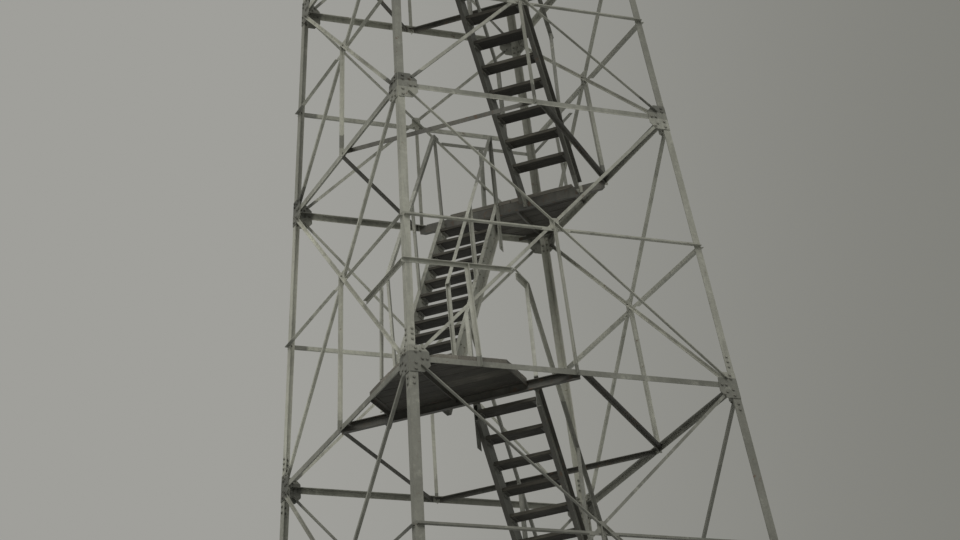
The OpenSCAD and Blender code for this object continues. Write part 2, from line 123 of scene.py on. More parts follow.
def inner_edge(i):
    return half_side(LEVEL[i]) / ROOT_2 - BEAM_W / 2


def flight(i):
    """Top, run, rise and number of steps of flight i."""
    top = inner_edge(BAYS - 1) - TOP_RUN if i == BAYS else -inner_edge(i)
    run = FIRST_RUN if i == 1 else TOP_RUN if i == BAYS else inner_edge(i - 1) + inner_edge(i)
    rise = walk_z(i) - walk_z(i - 1)
    return top, run, rise, round(rise / STEP_H)


def brace_line(i):
    """Points on the legs that the diagonal of bay i that rises to the right runs between, on a face."""
    drop = (GIRT_W + GUSSET_H + PACK_W) / 2 + 2 * FIT if i == 1 else GIRT_W / 2
    foot_y = BRACE_START if i == 1 else girt_line(i - 1)
    foot = Vector((leg_w(i) / 2 - half_side(LEVEL[i - 1]), foot_y, 0))
    return foot, Vector((half_side(LEVEL[i]) - leg_w(i) / 2, up_face(LEVEL[i]) - drop, 0))


def crossing(i):
    a, b = brace_line(i)
    return a.y - (b.y - a.y) * a.x / (b.x - a.x)


def move(x, y, z):
    return Matrix.Translation((x, y, z))


def tilt(angle, axis):
    return Matrix.Rotation(angle, 4, axis)


def turn(degrees, axis="Z"):
    return tilt(radians(degrees), axis)


def mirror(way, axis):
    """Mirror image along the X or Y axis where the way is -1."""
    return Matrix.Scale(way, 4, (1, 0, 0) if axis == "X" else (0, 1, 0))


# Frames: on a face or wall, X runs along it, Y up it and Z outwards
def on_face(side):
    return turn(90 * side) @ move(0, -BASE / 2, 0) @ tilt(pi / 2 - LEAN, "X")


def half_faces():
    """Frames of the four faces, each with its mirror image."""
    return [on_face(side) @ mirror(s, "X") for side in range(4) for s in (-1, 1)]


def on_wall(side, z=CAB_Z):
    return turn(90 * side) @ move(0, -CAB / 2, z) @ turn(90, "X")


def on_roof(side):
    return turn(90 * side) @ move(0, -ROOF_HALF, EAVE_Z + ROOF_T) @ tilt(ROOF_PITCH, "X")


def on_hip(corner):
    edge = move(-ROOF_HALF * ROOT_2, 0, EAVE_Z + ROOF_T)
    return turn(45 + 90 * corner) @ edge @ tilt(-HIP_PITCH, "Y")


def at_level(i):
    return turn(180 * ((i + 1) % 2)) @ move(0, 0, LEVEL[i]) @ turn(45)


def at_flight(i):
    return at_level(i) @ move(flight(i)[0], -STAIR_Y, walk_z(i) - LEVEL[i])


def up_hips(x):
    """Length of the roof's slope from the eaves to the hip, at x along the eaves."""
    return (ROOF_HALF - abs(x)) / cos(ROOF_PITCH)


def inset(outline, gap):
    """Convex outline, anticlockwise, with every side moved in by the gap."""
    points, count = [Vector(p) for p in outline], len(outline)
    result = []
    for k in range(count):
        a, b, c = points[k - 1], points[k], points[(k + 1) % count]
        u, v = (b - a).normalized(), (c - b).normalized()
        n, m = Vector((-u.y, u.x)), Vector((-v.y, v.x))
        result.append(tuple(b + (n + m) * (gap / (1 + n.dot(m)))))
    return result


def cut(outline, nx, ny, limit):
    """Part of a convex outline where nx * x + ny * y is at most the limit."""
    result = []
    for k, b in enumerate(outline):
        a = outline[k - 1]
        da, db = nx * a[0] + ny * a[1] - limit, nx * b[0] + ny * b[1] - limit
        if da * db < 0:
            part = da / (da - db)
            result.append((a[0] + (b[0] - a[0]) * part, a[1] + (b[1] - a[1]) * part))
        if db <= 0:
            result.append(b)
    return result


def tube(centre, radius):
    """Outline of a round bar that lathe turns about an axis, at a distance from it."""
    steps = [k * pi / 4 for k in range(8)]
    return [(centre + radius * cos(a), radius * sin(a)) for a in steps]


def up_to(height):
    """Reach of a sheet with a level top."""
    return lambda x: height


def put(name, data):
    """New object in the scene."""
    obj = bpy.data.objects.new(name, data)
    bpy.context.scene.collection.objects.link(obj)
    return obj


class Shape:
    """Gathers faces in the part's frame and makes them one object."""

    def __init__(self, seed=0):
        self.verts, self.faces, self.random = [], [], random.Random(seed)

    def add(self, place, verts, faces):
        first = len(self.verts)
        self.verts.extend(place @ Vector(v) for v in verts)
        flip = place.determinant() < 0
        self.faces.extend([first + k for k in (reversed(f) if flip else f)] for f in faces)

    def rings(self, place, rings):
        """Skin over rings of the same number of points, capped at both ends."""
        n, last = len(rings[0]), (len(rings) - 1) * len(rings[0])
        faces = [tuple(range(n - 1, -1, -1)), tuple(range(last, last + n))]
        for r in range(len(rings) - 1):
            for k in range(n):
                a, b = r * n + k, r * n + (k + 1) % n
                faces.append((a, b, b + n, a + n))
        self.add(place, [p for ring in rings for p in ring], faces)

    def slab(self, place, outline, low, high, edge):
        """Convex outline raised from low to high, with its edges taken off."""
        levels = [(outline, low), (outline, high)]
        if edge:
            small = inset(outline, edge)
            levels = [(small, low), (outline, low + edge), (outline, high - edge), (small, high)]
        self.rings(place, [[(x, y, z) for x, y in ring] for ring, z in levels])

    def box(self, place, low, high, edge):
        outline = [low[:2], (high[0], low[1]), high[:2], (low[0], high[1])]
        self.slab(place, outline, low[2], high[2], edge)

    def bar(self, place, outline, length):
        """Outline in the YZ plane drawn out along X."""
        self.rings(place, [[(x, y, z) for y, z in outline] for x in (0, length)])

    def angle(self, place, length, w, t):
        self.bar(place, [(0, 0), (w, 0), (w, t), (t, t), (t, w), (0, w)], length)

    def disc(self, place, radius, low, high, sides, edge=0.0, start=0.0):
        steps = [start + 2 * pi * k / sides for k in range(sides)]
        self.slab(place, [(radius * cos(a), radius * sin(a)) for a in steps], low, high, edge)

    def lathe(self, place, outline, sides=32, start=0.0):
        """Closed outline of radius and height, anticlockwise, turned about the Z axis."""
        n, verts, faces = len(outline), [], []
        for k in range(sides):
            a = radians(start) + 2 * pi * k / sides
            verts += [(r * cos(a), r * sin(a), z) for r, z in outline]
            for j in range(n):
                here, there, up = k * n, (k + 1) % sides * n, (j + 1) % n
                faces.append((here + j, there + j, there + up, here + up))
        self.add(place, verts, faces)

    def sheet(self, place, x0, x1, reach, t, bulge, cells=(4, 6)):
        """Thin sheet from x0 to x1 and from y = 0 up to reach(x), a little swollen in its middle."""
        across, rows = cells
        rings = []
        for r in range(rows + 1):
            front, back = [], []
            for c in range(across + 1):
                u, v = c / across, r / rows
                x = x0 + (x1 - x0) * u
                swell = bulge * sin(pi * u) * sin(pi * v)
                front.append((x, reach(x) * v, t + swell))
                back.append((x, reach(x) * v, 0))
            rings.append(front + back[::-1])
        self.rings(place, rings)

    def bolt(self, place, grip, across=0.024, washer=True):
        """Hexagon head on the plane z = 0 of place, and its nut on the far side of the grip."""
        r, head_h, nut_h, edge = across / sqrt(3), across * 0.42, across * 0.5, across * 0.06
        washer_r, washer_t, thread_r, thread_end = r * 1.35, 0.003, across * 0.31, 0.008
        spin = self.random.uniform(0, pi / 3)
        low = washer_t if washer else 0.0
        if washer:
            self.disc(place, washer_r, 0, low, 12)
        self.disc(place, r, low, low + head_h, 6, edge, spin)
        back = place @ move(0, 0, -grip) @ turn(180, "X")
        self.disc(back, r, 0, nut_h, 6, edge, spin)
        self.disc(back, thread_r, nut_h, nut_h + thread_end, 8, 0.002)

    def rivet(self, place):
        self.disc(place, 0.006, 0, 0.003, 8, 0.0015)

    def make(self, name, material, slot, *replaced):
        mesh = bpy.data.meshes.new(name)
        mesh.from_pydata(self.verts, [], self.faces)
        mesh.update()
        mesh.materials.append(material)
        obj = put(name, mesh)
        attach(obj, "root")
        if replaced:
            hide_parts(*replaced)


def add_node(tree, kind, links=(), **settings):
    """New node with its settings, and with its sockets linked or set."""
    made = tree.nodes.new(kind)
    for key, value in settings.items():
        setattr(made, key, value)
    for socket, value in dict(links).items():
        if isinstance(value, bpy.types.NodeSocket):
            tree.links.new(value, made.inputs[socket])
        else:
            made.inputs[socket].default_value = value
    return made


class Surface:
    """Node material on the Principled shader, in the part's own coordinates."""

    def __init__(self, name, **values):
        self.material = bpy.data.materials.new(name)
        self.material.use_nodes = True
        self.tree = self.material.node_tree
        self.shader = self.tree.nodes["Principled BSDF"]
        for key, value in values.items():
            self.shader.inputs[key.replace("_", " ")].default_value = value
        self.coordinates = self.node("ShaderNodeTexCoord")
        self.place = self.coordinates.outputs["Object"]

    def node(self, kind, links=(), **settings):
        return add_node(self.tree, kind, links, **settings)

    def stretch(self, scale, rotation=(0, 0, 0), source=None):
        links = {"Vector": source or self.place, "Scale": scale, "Rotation": rotation}
        return self.node("ShaderNodeMapping", links).outputs[0]

    def noise(self, scale, detail, rough=0.55, source=None, warp=0.0):
        links = {
            "Vector": source or self.place, "Scale": scale, "Detail": detail, "Roughness": rough,
            "Distortion": warp}
        return self.node("ShaderNodeTexNoise", links).outputs["Fac"]

    def span(self, value, low, high, to_low=0.0, to_high=1.0):
        links = {"Value": value, "From Min": low, "From Max": high, "To Min": to_low, "To Max": to_high}
        return self.node("ShaderNodeMapRange", links, clamp=True).outputs[0]

    def mix(self, amount, a, b, blend="MIX"):
        a, b = ((*c, 1) if isinstance(c, tuple) else c for c in (a, b))
        made = self.node("ShaderNodeMix", {0: amount, 6: a, 7: b}, data_type="RGBA", blend_type=blend)
        return made.outputs[2]

    def sums(self, operation, a, b):
        return self.node("ShaderNodeMath", {0: a, 1: b}, operation=operation).outputs[0]

    def along(self, axis, socket=None):
        return self.node("ShaderNodeSeparateXYZ", {0: socket or self.place}).outputs[axis]

    def painted_underside_shade(self, amount):
        """Painted shade: the amount, a little patchy, by which a surface that looks down is darkened as if it
        lay in shade.
        """
        patchy = self.span(self.noise(2.2, 3), 0.3, 0.6, 0.75 * amount, amount)
        down = self.span(self.along("Z", self.coordinates.outputs["Normal"]), -0.10, -0.55)
        return self.sums("MULTIPLY", patchy, down)

    def colour(self, socket):
        self.tree.links.new(socket, self.shader.inputs["Base Color"])

    def roughness(self, socket):
        self.tree.links.new(socket, self.shader.inputs["Roughness"])

    def bump(self, height, distance, strength, under=None):
        links = {"Height": height, "Distance": distance, "Strength": strength}
        if under is not None:
            links["Normal"] = under
        normal = self.node("ShaderNodeBump", links).outputs[0]
        self.tree.links.new(normal, self.shader.inputs["Normal"])
        return normal


# Colours that materials share
STEEL_PALE, STEEL_DARK = (0.302, 0.299, 0.248), (0.201, 0.199, 0.163)
# The first of these is the colour of the painted shade on surfaces that look down.
UNDERSIDE_SHADE_COLOUR, RUST, CRACK = (0.040, 0.037, 0.029), (0.105, 0.070, 0.046), (0.008, 0.007, 0.006)


def times(colour, factor):
    return tuple(factor * c for c in colour)


def grey(shade):
    return (shade, shade, shade)


def by_bay(s, values):
    """A value for each bay, or three: for the level bars at its foot, their plates' tops and the rest."""
    ramp = s.node("ShaderNodeValToRGB", {0: s.span(s.along("Z"), 0, LEVEL[BAYS])})
    ramp.color_ramp.interpolation = "CONSTANT"
    steps = []
    for level, value in zip(LEVEL, values):
        if isinstance(value, tuple):
            steps += zip((level - GIRT_W, level, level + (GUSSET_H - GIRT_W) / 2), value)
        else:
            steps.append((level, value))
    for k, (z, value) in enumerate(steps):
        if k > 1:
            ramp.color_ramp.elements.new(z / LEVEL[BAYS])
        element = ramp.color_ramp.elements[k]
        element.position = z / LEVEL[BAYS]
        element.color = (*grey(value), 1)
    return ramp.outputs[0]


def painted_side_light(s, tone, front, back, back_plate_shade):
    """Painted light and shade from the front right, painted darker, to the back left, where bars are painted
    paler and the plates by the legs painted darker.
    """
    reach, plate_edge = 2.3, BASE / 2 - GUSSET_W
    turned = s.stretch((1, 1, 1), (0, 0, radians(-20)))
    side = s.span(s.along("Y", turned), -reach, reach)
    across = [s.sums("ABSOLUTE", s.along(axis), 0.0) for axis in "XY"]
    inwards = s.sums("ADD", s.sums("MINIMUM", *across), s.sums("MULTIPLY", s.along("Z"), BATTER))
    on_plate = s.span(inwards, plate_edge - 0.03, plate_edge)
    far_side_light = s.mix(on_plate, grey(back), grey(back_plate_shade))
    return s.mix(1.0, tone, s.mix(side, grey(front), far_side_light), "MULTIPLY")


def steel(name, pale, dark, rust=0.62, underside_shade=(0.6,), shades=(1.0,), side_light=()):
    """Galvanised steel gone dull: spangle, pale bloom, stains that have run down, a little rust, painted
    shade on the undersides and, where asked, painted light and shade from front to back.
    """
    s = Surface(name, Metallic=0.2)
    tone = s.mix(s.span(s.noise(1.7, 4), 0.35, 0.65), dark, pale)
    if len(shades) > 1:
        tone = s.mix(1.0, tone, by_bay(s, shades), "MULTIPLY")
    # Painted light and shade: the tone changes from the front right to the back left.
    if side_light:
        tone = painted_side_light(s, tone, *side_light)
    cells = s.node("ShaderNodeTexVoronoi", {"Vector": s.place, "Scale": 38}).outputs["Color"]
    spangle = s.node("ShaderNodeSeparateColor", {0: cells}).outputs[0]
    tone = s.mix(0.5, tone, s.mix(spangle, grey(0.86), (1.12, 1.12, 1.11)), "MULTIPLY")
    runs = s.noise(5, 5, 0.6, s.stretch((3, 3, 0.22)))
    tone = s.mix(s.span(runs, 0.5, 0.74, 0, 0.5), tone, times(dark, 0.5))
    bloom = s.noise(9, 4, 0.65)
    tone = s.mix(s.span(bloom, 0.58, 0.8, 0, 0.4), tone, times(pale, 1.5))
    # Painted shade: surfaces that look down are darkened towards a near-black colour, by one amount or by one
    # for each bay.
    if len(underside_shade) > 1:
        shade_below = s.sums("MULTIPLY", s.painted_underside_shade(1.0), by_bay(s, underside_shade))
    else:
        shade_below = s.painted_underside_shade(underside_shade[0])
    tone = s.mix(shade_below, tone, UNDERSIDE_SHADE_COLOUR)
    spots = s.noise(14, 6, 0.7, warp=0.4)
    where = s.sums("MULTIPLY", s.span(spots, rust, rust + 0.06), s.span(s.noise(0.9, 2), 0.42, 0.6))
    s.colour(s.mix(where, tone, RUST))
    s.roughness(s.span(s.sums("ADD", bloom, where), 0.3, 1.3, 0.5, 0.88))
    s.bump(spots, 0.0012, 0.5)
    return s.material


def wood(name, pale, dark, turned, wet=0.5, plank_underside_shade=0.0):
    """Old bare planks: grain drawn out along the boards, cracks, dark stains, each board its own shade, and
    painted shade on the undersides.
    """
    s = Surface(name, Specular_IOR_Level=0.3)
    along = s.stretch((1, 1, 1), (0, 0, -radians(turned)))
    island = s.node("ShaderNodeNewGeometry").outputs["Random Per Island"]
    offsets = {0: s.sums("MULTIPLY", island, 37.0), 1: s.sums("MULTIPLY", island, 11.0)}
    offset = s.node("ShaderNodeCombineXYZ", offsets).outputs[0]
    shifted = s.node("ShaderNodeVectorMath", {0: along, 1: offset}, operation="ADD").outputs[0]
    grain = s.noise(9, 6, 0.65, s.stretch((0.55, 9, 9), source=shifted), 0.25)
    rings = s.noise(3, 3, 0.5, s.stretch((0.35, 6, 6), source=shifted), 1.2)
    tone = s.mix(s.span(grain, 0.35, 0.68), dark, pale)
    tone = s.mix(s.span(rings, 0.4, 0.7, 0, 0.6), tone, times(pale, 0.55))
    tone = s.mix(0.75, tone, s.mix(island, (0.62, 0.60, 0.58), (1.32, 1.30, 1.26)), "MULTIPLY")
    stains = s.noise(1.4, 4, source=shifted)
    tone = s.mix(s.span(stains, 0.45, 0.75, 0, wet), tone, times(dark, 0.4))
    # Painted shade: boards darkened where they look down.
    tone = s.mix(s.painted_underside_shade(plank_underside_shade), tone, times(dark, 0.15))
    cracks = s.noise(22, 4, 0.7, s.stretch((0.18, 7, 7), source=shifted), 0.1)
    s.colour(s.mix(s.span(cracks, 0.66, 0.72), tone, CRACK))
    s.roughness(s.span(grain, 0.3, 0.7, 0.92, 0.7))
    s.bump(s.span(cracks, 0.6, 0.72, 1, 0), 0.004, 0.7, s.bump(grain, 0.0022, 0.8))
    return s.material


def paint(name, coat, bare, chips):
    """Old matt paint: faded patches, stains in streaks, painted shade on the undersides, and chips down to
    what it covers.
    """
    s = Surface(name, Specular_IOR_Level=0.4)
    tone = s.mix(s.span(s.noise(2.3, 4), 0.35, 0.65), times(coat, 0.84), times(coat, 1.06))
    tone = s.mix(s.span(s.noise(0.9, 3, 0.6), 0.5, 0.7, 0, 0.4), tone, times(coat, 1.25))
    streaks = s.noise(6, 5, 0.6, s.stretch((4, 4, 0.16)))
    tone = s.mix(s.span(streaks, 0.5, 0.75, 0, 0.65), tone, times(coat, 0.42))
    # Painted shade: paint darkened where it looks down.
    tone = s.mix(s.painted_underside_shade(0.6), tone, times(coat, 0.25))
    flakes = s.noise(12, 6, 0.72, warp=0.5)
    halo = s.span(flakes, chips - 0.05, chips, 0, 0.45)
    tone = s.mix(halo, tone, s.mix(0.5, times(coat, 0.6), bare))
    worn = s.span(flakes, chips, chips + 0.015)
    s.colour(s.mix(worn, tone, bare))
    s.roughness(s.span(streaks, 0.3, 0.7, 0.6, 0.85))
    s.bump(worn, 0.0006, 0.8, s.bump(s.noise(70, 3), 0.0004, 0.4))
    return s.material


def window_glass():
    """Clear glass with dust and dried rain on it."""
    s = Surface("window glass", Transmission_Weight=0.9, IOR=1.5)
    dust = s.noise(3, 4, 0.6)
    drops = s.noise(34, 4, 0.6, s.stretch((1, 1, 0.3)))
    dirty = s.sums("MULTIPLY", s.span(dust, 0.4, 0.7), s.span(drops, 0.4, 0.7))
    s.colour(s.mix(dirty, (0.80, 0.86, 0.86), (0.42, 0.42, 0.38)))
    s.roughness(s.span(s.sums("ADD", dirty, dust), 0.3, 1.2, 0.03, 0.3))
    s.bump(s.noise(1.6, 2), 0.002, 0.3)
    return s.material


# The amounts for surfaces that look down are painted shade, and the three tones by side are painted light and
# shade from the front right to the back left.
leg_steel = steel(
    "leg steel", STEEL_PALE, (0.237, 0.234, 0.192),
    shades=(0.74, 0.86, 0.62, 1.02, 0.66, 0.80), side_light=(0.86, 1.45, 1.45))
bar_steel = steel(
    "bar steel", STEEL_PALE, STEEL_DARK,
    underside_shade=(0.4, 0.4, 0.25, 0.03, 0.03, 0.1), shades=(0.86, 0.90, 0.66, 1.15, (0.78, 0.48, 1.0), 0.95),
    side_light=(0.84, 1.40, 0.56))
rail_steel = steel(
    "rail steel", (0.362, 0.359, 0.302), (0.251, 0.249, 0.206),
    underside_shade=(0.25,), shades=(0.82, 0.86, 0.60, 1.06, 0.66, 0.82))
stair_steel = steel(
    "stair steel", (0.311, 0.309, 0.258), STEEL_DARK, 0.60,
    underside_shade=(0.85,), shades=(0.76, 0.80, 0.45, 1.15, 0.55, 0.80))
deck_steel = steel(
    "landing steel", (0.075, 0.072, 0.058), (0.040, 0.038, 0.030), 0.56,
    underside_shade=(0.6, 0.6, 0.5, 0.3, 0.3, 0.5), shades=(1.0, 1.0, 1.1, 1.35, 1.5, 1.3))
bolt_steel = steel(
    "bolt steel", (0.291, 0.284, 0.235), (0.191, 0.187, 0.152), 0.60,
    underside_shade=(0.5,), shades=(0.86, 0.90, 0.64, 1.08, (0.78, 0.50, 0.90), 0.84),
    side_light=(0.86, 1.2, 0.6))
roof_steel = steel("roof steel", (0.235, 0.245, 0.225), (0.150, 0.158, 0.143), 0.585, underside_shade=(0.7,))
deck_wood = wood("deck planks", (0.190, 0.178, 0.148), (0.095, 0.089, 0.072), 135, plank_underside_shade=0.75)
tread_wood = wood("tread boards", (0.092, 0.086, 0.068), (0.040, 0.037, 0.029), 135, plank_underside_shade=0.55)
floor_wood = wood("cab boards", (0.16, 0.13, 0.095), (0.08, 0.064, 0.045), 45, 0.3)
rafter_wood = wood("cab timbers", (0.19, 0.15, 0.105), (0.10, 0.078, 0.052), 0, 0.3)
sheet_paint = paint("cab sheet paint", (0.36, 0.38, 0.33), (0.10, 0.062, 0.038), 0.70)
trim_paint = paint("cab trim paint", (0.47, 0.48, 0.44), (0.16, 0.14, 0.115), 0.655)
glass = window_glass()


def dress_nodes():
    """Gives each CAD node that still shows its own material."""
    finishes = {
        "leg": leg_steel, "bracing": bar_steel, "anchor_plates": bar_steel, "framing": deck_steel,
        "cab_sill": deck_steel, "stringers": stair_steel, "railing": rail_steel, "wall": sheet_paint,
        "cab_windows": glass, "cab_roof": roof_steel}
    for name, obj in nodes.items():
        for word, material in finishes.items():
            if word in name:
                obj.data.materials.clear()
                obj.data.materials.append(material)


def joint_bolts():
    """Bolts of the plates over the joints: through the legs and through the level bars."""
    bolts = Shape(11)
    margin, second, inner, from_toe = 0.030, 0.095, 0.080, 0.024
    for face in map(on_face, range(4)):
        for i in range(1, BAYS + 1):
            girt_y = girt_line(i)
            low = girt_y - GUSSET_H / 2
            high = low + GUSSET_H if i < BAYS else up_face(LEVEL[i])
            for s in (-1, 1):
                for y in (low + margin, low + second, (girt_y + high) / 2, high - margin):
                    x = s * (half_at(y) - leg_w(i) + from_toe)
                    bolts.bolt(face @ move(x, y, GUSSET_T), GUSSET_T + LEG_T)
                for x in (GUSSET_W - margin, GUSSET_W - inner):
                    at = face @ move(s * (half_side(LEVEL[i]) - x), girt_y, GUSSET_T)
                    bolts.bolt(at, GUSSET_T + GIRT_T)
    bolts.make("joint_bolts", bolt_steel, "steel")


def brace_bolts():
    """Bolts of the diagonals, of their crossings and of the light angles."""
    bolts = Shape(12)
    size, small = 0.019, 0.017
    half_pitch, first, second, aside = 0.018, 0.020, 0.062, 0.034
    for face in map(on_face, range(4)):
        for i in range(1, BAYS + 1):
            foot, head = brace_line(i)
            along = (head - foot).normalized()
            across = Vector((-along.y, along.x, 0)) * BRACE_T / 2
            steps = (-half_pitch, half_pitch) if i == 1 else (BRACE_END + first, BRACE_END + second)
            inner_z, outer_z, plate = (0, FIT, LEG_T) if i == 1 else (GUSSET_T, GUSSET_T, GUSSET_T)
            for end, way in ((foot, 1), (head, -1)):
                for step in steps:
                    p = end + along * way * step + across
                    bolts.bolt(face @ move(p.x, p.y, inner_z), plate + BRACE_T, size)
                    outside = face @ move(-p.x, p.y, outer_z + BRACE_T)
                    bolts.bolt(outside, outer_z + BRACE_T + (LEG_T if i == 1 else 0), size)
            strut_y = crossing(i) - STRUT_DROP
            for s in (-1, 1):
                x = half_at(strut_y) - leg_w(i) / 2
                bolts.bolt(face @ move(s * x, strut_y + STRUT_T / 2, STRUT_T), STRUT_T + LEG_T, small)
            if i == 1:
                continue
            bolts.bolt(face @ move(0, crossing(i), GUSSET_T + BRACE_T), GUSSET_T + 2 * BRACE_T, size)
            for x in (-aside, aside):
                bolts.bolt(face @ move(x, strut_y, GUSSET_T), GUSSET_T, small)
            bolts.bolt(face @ move(0, girt_line(i - 1), STRUT_T), STRUT_T + GIRT_T, small)
    bolts.make("brace_bolts", bolt_steel, "steel")


def leg_splices():
    """Cover bars inside the flanges where the legs change size, bolted above and below the plates."""
    covers, bolts = Shape(), Shape(13)
    middle, reach, t = up_face(LEVEL[SPLICE]), 0.330, 0.008
    outer, centre, inner = 0.020, 0.045, 0.070
    low, high = half_at(middle - reach), half_at(middle + reach)
    outline = [
        (low - inner, middle - reach), (low - outer, middle - reach),
        (high - outer, middle + reach), (high - inner, middle + reach)]
    for face in half_faces():
        covers.slab(face @ move(0, 0, -LEG_T), outline, -t, 0, 0.001)
        for step in (-0.300, -0.235, 0.185, 0.245, 0.300):
            x = half_at(middle + step) - centre
            bolts.bolt(face @ move(x, middle + step, 0), LEG_T + t, 0.022)
    covers.make("leg_splices", leg_steel, "steel")
    bolts.make("splice_bolts", bolt_steel, "steel")


def feet():
    """Anchor bolts with their nuts, and cleats that hold the legs to the plates."""
    anchors, cleats = Shape(14), Shape(15)
    centre, washer_top, nut_top, stud_top = half_side(0) - LOWER_LEG_W / 2, 0.004, 0.024, 0.055
    for x, y, dx, dy in itertools.product((-1, 1), repeat=4):
        corner = (x * centre + dx * ANCHOR_PITCH / 2, y * centre + dy * ANCHOR_PITCH / 2)
        at = move(*corner, FOOT_T)
        anchors.disc(at, 0.028, 0, washer_top, 16)
        anchors.disc(at, 0.0208, washer_top, nut_top, 6, 0.002, 0.3)
        anchors.disc(at, 0.012, nut_top, stud_top, 12, 0.002)
    anchors.make("anchor_bolts", bolt_steel, "steel")
    length, w, t = 0.070, 0.060, 0.008
    x = half_side(0) - LOWER_LEG_W + 0.004
    for face in half_faces():
        cleats.angle(face @ move(x, FOOT_T + 0.001, -LEG_T) @ turn(-90, "X"), length, w, t)
        cleats.bolt(face @ move(x + w / 2, FOOT_T + 0.038, 0), LEG_T + t, 0.022)
    cleats.make("foot_cleats", bar_steel, "steel")


def landing_planks(i, heads):
    """Planks side by side from the inner edge to the cut corner, some in two lengths, with bolt heads."""
    planks = Shape(100 + i)
    dice = planks.random
    place = at_level(i)
    reach = (half_side(LEVEL[i]) - FIT) * ROOT_2
    wide, end, edge = LANDING_W / 2, reach - DECK_CORNER / ROOT_2, inner_edge(i)
    plank_w, from_end, from_middle = 0.146, 0.032, 0.030
    count = round((end - edge) / plank_w)
    pitch = (end - edge) / count
    for k in range(count):
        near, far = -edge - k * pitch, -edge - (k + 1) * pitch + dice.uniform(0.003, 0.008)
        trim = dice.uniform(0, 0.010)
        bends = [x for x in (far, wide - reach, near) if far <= x <= near]
        right = [(x, min(wide, reach + x) - trim) for x in bends]
        left = [(x, -y) for x, y in right]
        pieces = [left + right[::-1]]
        if k % 3 != 1:
            gap = dice.uniform(0.0015, 0.004)
            pieces = [left + [(near, -gap), (far, -gap)], [(far, gap), (near, gap)] + right[::-1]]
        for outline in pieces:
            planks.slab(place, outline, 0.0, DECK_T - dice.uniform(0, 0.003), 0.004)
        side = min(y for x, y in right) - from_end
        for y in (-side, -from_middle, from_middle, side):
            head = place @ move((near + far) / 2 + dice.uniform(-0.02, 0.02), y, DECK_T - 0.003)
            heads.disc(head, 0.011, 0, 0.0055, 10, 0.002)
    planks.make(f"landing_{i}_planks", deck_wood, "wood", f"landing_{i}_deck")


def tread_rings(worn, cup):
    """Rings across a tread: a rounded nosing at x = 0, dished where feet fall, hollow towards the back."""
    columns, r, foot_w, gap, rings = 9, 0.008, 0.13, 0.004, []
    for c in range(columns):
        y = (c / (columns - 1) - 0.5) * (TREAD_L - gap)
        dip = worn * exp(-(y / foot_w) ** 2)
        section = [
            (0.003 - TREAD_D, -TREAD_T), (-r, -TREAD_T), (-0.002, 0.4 * r - TREAD_T), (0, r - TREAD_T),
            (0, -r - dip), (-0.002, -0.4 * r - dip), (-r, -dip), (-TREAD_D * 0.45, -cup - dip / 2),
            (0.003 - TREAD_D, 0), (-TREAD_D, -0.003), (-TREAD_D, 0.003 - TREAD_T)]
        rings.append([(x, y, z) for x, z in section])
    return rings[::-1]


def flight_treads(i, cleats, bolts):
    """Worn boards on angle cleats that are bolted through the stringers."""
    boards = Shape(200 + i)
    _, run, rise, steps = flight(i)
    w, t, size, bolt_z = 0.040, 0.005, 0.016, -TREAD_T - 0.023
    for n in range(1, steps):
        place = at_flight(i) @ move(n * run / steps, 0, -n * rise / steps)
        worn, cup = boards.random.uniform(0.002, 0.006), boards.random.uniform(0, 0.002)
        boards.rings(place, tread_rings(worn, cup))
        for s in (-1, 1):
            cleat = place @ mirror(s, "Y") @ move(0.015 - TREAD_D, TREAD_L / 2, -TREAD_T) @ turn(180, "X")
            cleats.angle(cleat, TREAD_D - 0.035, w, t)
            for x in (-0.145, -0.050):
                at = place @ move(x, s * (TREAD_L / 2 - t), bolt_z) @ turn(90 * s, "X")
                bolts.bolt(at, t + STRINGER_T, size, False)
    boards.make(f"flight_{i}_boards", tread_wood, "wood", f"flight_{i}_treads")


def flight_clips(i, clips, bolts):
    """Clip angles between the stringers' ends and the landings, and plates under the first flight."""
    _, run, rise, _ = flight(i)
    length, w, t, bolt_x, shoe_t, size, upright = 0.085, 0.038, 0.005, 0.024, 0.008, 0.015, turn(-90, "Y")
    for s in (-1, 1):
        web = at_flight(i) @ mirror(s, "Y") @ move(0, TREAD_L / 2 + STRINGER_T, 0)
        ends = [(0.001, -0.165, turn(-90) @ upright, 1)]
        if i > 1:
            ends.append((run - 0.001, -rise - STRINGER_FOOT + 0.012, upright, -1))
        for x, z, stand, way in ends:
            clips.angle(web @ move(x, 0, z) @ stand, length, w, t)
            for up in (0.022, 0.063):
                at = web @ move(x + way * bolt_x, t, z + up) @ turn(-90, "X")
                bolts.bolt(at, t + STRINGER_T, size, False)
        if i == 1:
            clips.box(web @ move(run, 0, -rise), (-0.130, -0.030, 0), (0.020, 0.070, shoe_t), 0.001)
            bolts.disc(web @ move(run - 0.016, 0.052, shoe_t - rise), 0.011, 0, 0.010, 6, 0.002)
        if i < BAYS and s > 0:
            for z in (-0.10, -0.34, 0.04 - HANGER_H):
                at = at_flight(i) @ move(HANGER_W / 2, TREAD_L / 2 + STRINGER_W, z) @ turn(-90, "X")
                bolts.bolt(at, STRINGER_T, 0.018)


def rail_bolts(i, bolts):
    """Bolts of the handrails' posts."""
    _, run, rise, _ = flight(i)
    slope = rise / run
    start = 0 if i < BAYS else (HANDRAIL_H + SILL_H + FLOOR_T + FIT) / slope
    length = run - start - POST_GAP
    gaps = max(1, round(length / POST_PITCH))
    y = TREAD_L / 2 + STRINGER_W - RAIL_W
    below = RAIL_W * 0.6 / cos(atan(slope))
    for n in range(gaps + 1):
        x = start + n * length / gaps + RAIL_W / 2
        outer = HANDRAIL_H - x * slope if i == BAYS else min(GUARD_H, OUTER_RAIL_H - x * slope)
        heights = [(1, HANDRAIL_H - x * slope)]
        if n or i != BAYS - 1:
            heights.append((-1, outer))
        for s, height in heights:
            at = at_flight(i) @ move(x, s * y, height - below) @ turn(90 * s, "X")
            bolts.bolt(at, RAIL_T * 2, 0.016, False)


